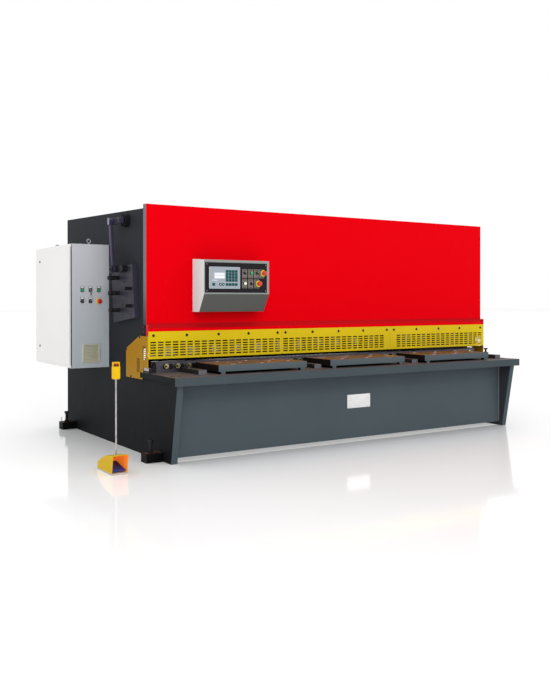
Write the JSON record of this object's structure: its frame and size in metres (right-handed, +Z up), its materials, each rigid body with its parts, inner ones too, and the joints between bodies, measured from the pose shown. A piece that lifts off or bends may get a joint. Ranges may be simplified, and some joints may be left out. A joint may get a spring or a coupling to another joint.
{
  "type": "hydraulic plate shearing machine",
  "caption": "Long hydraulic plate shear with slotted finger guards, hold-down cylinders, raised support plates, control box, side cabinet and foot switch.",
  "frame": {"origin": "on the floor, in the middle of the four anchor holes in the foot blocks", "axes": "+X along the blades to the operator's right, +Y from the operator to the back, +Z up"},
  "size_m": [4.956, 2.655, 2.287],
  "materials": {
    "frame_paint": "satin dark grey-blue machine enamel",
    "table_paint": "satin grey-blue enamel, bare worn top",
    "cover_red": "gloss red enamel",
    "guard_yellow": "gloss yellow enamel",
    "tool_steel": "ground tool steel",
    "cylinder_steel": "polished steel",
    "brass": "machined brass",
    "rest_paint": "grey sides, worn brown top",
    "bar_steel": "machined steel",
    "box_paint": "fine-textured pale grey enamel",
    "panel_black": "matt black panel",
    "unit_grey": "grey membrane keypad unit",
    "knob_black": "black moulded knob",
    "button_green": "green moulded button",
    "button_white": "white moulded button",
    "stop_red": "red mushroom head",
    "cabinet_paint": "fine-textured light grey enamel",
    "filter_beige": "beige louvred filter cover",
    "linkage_paint": "dark purple-grey enamel, oiled",
    "post_steel": "plated tube",
    "switch_yellow": "yellow moulded housing",
    "treadle_blue": "blue-grey ribbed treadle",
    "tank_paint": "satin grey-blue enamel",
    "end_block_pale": "pale grey enamel",
    "motor_paint": "grey motor enamel"
  },
  "bodies": {
    "frame": {"left_side_frame": "frame_paint", "right_side_frame": "frame_paint", "foot_blocks": "frame_paint", "jack_bolts": "bar_steel", "worktable": "table_paint", "apron": "table_paint", "table_rear_wall": "table_paint", "lower_knife": "tool_steel", "knife_block": "bar_steel", "gap_screws": "brass", "upper_knife": "tool_steel", "swing_beam": "frame_paint", "hold_down_beam": "frame_paint", "hold_down_cylinders": "cylinder_steel", "front_cover": "cover_red", "left_finger_guard": "guard_yellow", "middle_finger_guard": "guard_yellow", "right_finger_guard": "guard_yellow", "side_guards": "guard_yellow", "support_plates": "rest_paint", "ball_rests": "tool_steel", "table_bars": "bar_steel", "table_end_blocks": "end_block_pale", "control_box": "box_paint", "control_panel": "panel_black", "control_unit": "unit_grey", "electric_cabinet": "cabinet_paint", "cabinet_filter": "filter_beige", "lifting_eyes": "bar_steel", "pivot_bearings": "linkage_paint", "guide_bracket": "linkage_paint", "spring_pins": "linkage_paint", "pedal_base": "bar_steel", "pedal_hood": "switch_yellow", "stop_post": "post_steel", "stop_box": "switch_yellow", "rear_tie_beam": "frame_paint", "oil_tank": "tank_paint", "pump_motor": "motor_paint", "back_gauge": "frame_paint"},
    "panel_start_button": {"panel_start_button": "button_green"},
    "panel_white_button": {"panel_white_button": "button_white"},
    "cabinet_start_button": {"cabinet_start_button": "button_green"},
    "cabinet_green_button": {"cabinet_green_button": "button_green"},
    "panel_stop_upper": {"panel_stop_upper": "stop_red"},
    "panel_stop_lower": {"panel_stop_lower": "stop_red"},
    "cabinet_stop_button": {"cabinet_stop_button": "stop_red"},
    "panel_selector_left": {"panel_selector_left": "knob_black"},
    "panel_selector_right": {"panel_selector_right": "knob_black"},
    "panel_selector_lower": {"panel_selector_lower": "knob_black"},
    "cabinet_key_switch": {"cabinet_key_switch": "knob_black"},
    "cabinet_selector_left": {"cabinet_selector_left": "knob_black"},
    "cabinet_selector_right": {"cabinet_selector_right": "knob_black"},
    "post_stop_button": {"post_stop_button": "stop_red"},
    "cabinet_door": {"cabinet_door": "cabinet_paint"},
    "pedal_treadle": {"pedal_treadle": "treadle_blue"},
    "upper_lever": {"upper_lever": "linkage_paint"},
    "link_rod": {"link_rod": "linkage_paint"},
    "lower_lever": {"lower_lever": "linkage_paint"}
  },
  "joints": [
    {"name": "panel_start_button_push", "type": "slide", "parent": "frame", "child": "panel_start_button", "axis": [0, 1, 0], "range_m": [0, 0.004], "stiffness_N_per_m": 600, "springref_m": -0.003},
    {"name": "panel_white_button_push", "type": "slide", "parent": "frame", "child": "panel_white_button", "axis": [0, 1, 0], "range_m": [0, 0.004], "stiffness_N_per_m": 600, "springref_m": -0.003},
    {"name": "cabinet_start_button_push", "type": "slide", "parent": "frame", "child": "cabinet_start_button", "axis": [0, 1, 0], "range_m": [0, 0.004], "stiffness_N_per_m": 600, "springref_m": -0.003},
    {"name": "cabinet_green_button_push", "type": "slide", "parent": "frame", "child": "cabinet_green_button", "axis": [0, 1, 0], "range_m": [0, 0.004], "stiffness_N_per_m": 600, "springref_m": -0.003},
    {"name": "panel_stop_upper_push", "type": "slide", "parent": "frame", "child": "panel_stop_upper", "axis": [0, 1, 0], "range_m": [0, 0.005], "stiffness_N_per_m": 1200, "springref_m": -0.003},
    {"name": "panel_stop_lower_push", "type": "slide", "parent": "frame", "child": "panel_stop_lower", "axis": [0, 1, 0], "range_m": [0, 0.005], "stiffness_N_per_m": 1200, "springref_m": -0.003},
    {"name": "cabinet_stop_button_push", "type": "slide", "parent": "frame", "child": "cabinet_stop_button", "axis": [0, 1, 0], "range_m": [0, 0.005], "stiffness_N_per_m": 1200, "springref_m": -0.003},
    {"name": "post_stop_push", "type": "slide", "parent": "frame", "child": "post_stop_button", "axis": [0, 0, -1], "range_m": [0, 0.005], "stiffness_N_per_m": 1200, "springref_m": -0.003},
    {"name": "panel_selector_left_turn", "type": "hinge", "parent": "frame", "child": "panel_selector_left", "pos_m": [-1.247, -1.063, 1.642], "axis": [0, 1, 0], "range_deg": [-45, 45]},
    {"name": "panel_selector_right_turn", "type": "hinge", "parent": "frame", "child": "panel_selector_right", "pos_m": [-1.112, -1.063, 1.642], "axis": [0, 1, 0], "range_deg": [-45, 45]},
    {"name": "panel_selector_lower_turn", "type": "hinge", "parent": "frame", "child": "panel_selector_lower", "pos_m": [-1.176, -1.063, 1.545], "axis": [0, 1, 0], "range_deg": [-45, 45]},
    {"name": "cabinet_key_switch_turn", "type": "hinge", "parent": "frame", "child": "cabinet_key_switch", "pos_m": [-2.295, 0.09, 1.492], "axis": [0, 1, 0], "range_deg": [-45, 45]},
    {"name": "cabinet_selector_left_turn", "type": "hinge", "parent": "frame", "child": "cabinet_selector_left", "pos_m": [-2.379, 0.09, 1.384], "axis": [0, 1, 0], "range_deg": [-45, 45]},
    {"name": "cabinet_selector_right_turn", "type": "hinge", "parent": "frame", "child": "cabinet_selector_right", "pos_m": [-2.295, 0.09, 1.384], "axis": [0, 1, 0], "range_deg": [-45, 45]},
    {"name": "cabinet_door_hinge", "type": "hinge", "parent": "frame", "child": "cabinet_door", "pos_m": [-2.498, 0.096, 1.338], "axis": [0, 0, 1], "range_deg": [0, 120]},
    {"name": "treadle_hinge", "type": "hinge", "parent": "frame", "child": "pedal_treadle", "pos_m": [-2.628, -1.336, 0.028], "axis": [1, 0, 0], "range_deg": [-8, 0], "stiffness_Nm_per_rad": 30, "springref_deg": 8.59},
    {"name": "upper_lever_turn", "type": "hinge", "parent": "frame", "child": "upper_lever", "pos_m": [-2.172, -0.355, 2.14], "axis": [1, 0, 0], "range_deg": [-5, 15]},
    {"name": "link_rod_pivot", "type": "hinge", "parent": "upper_lever", "child": "link_rod", "pos_m": [-2.209, -0.205, 2.14], "axis": [1, 0, 0], "range_deg": [-15, 5]},
    {"name": "lower_lever_turn", "type": "hinge", "parent": "frame", "child": "lower_lever", "pos_m": [-2.172, -0.415, 1.685], "axis": [1, 0, 0], "range_deg": [-5, 15]}
  ],
  "couplings": [
    {"joint": "link_rod_pivot", "follows": "upper_lever_turn", "ratio": -1},
    {"joint": "lower_lever_turn", "follows": "upper_lever_turn", "ratio": 1}
  ]
}
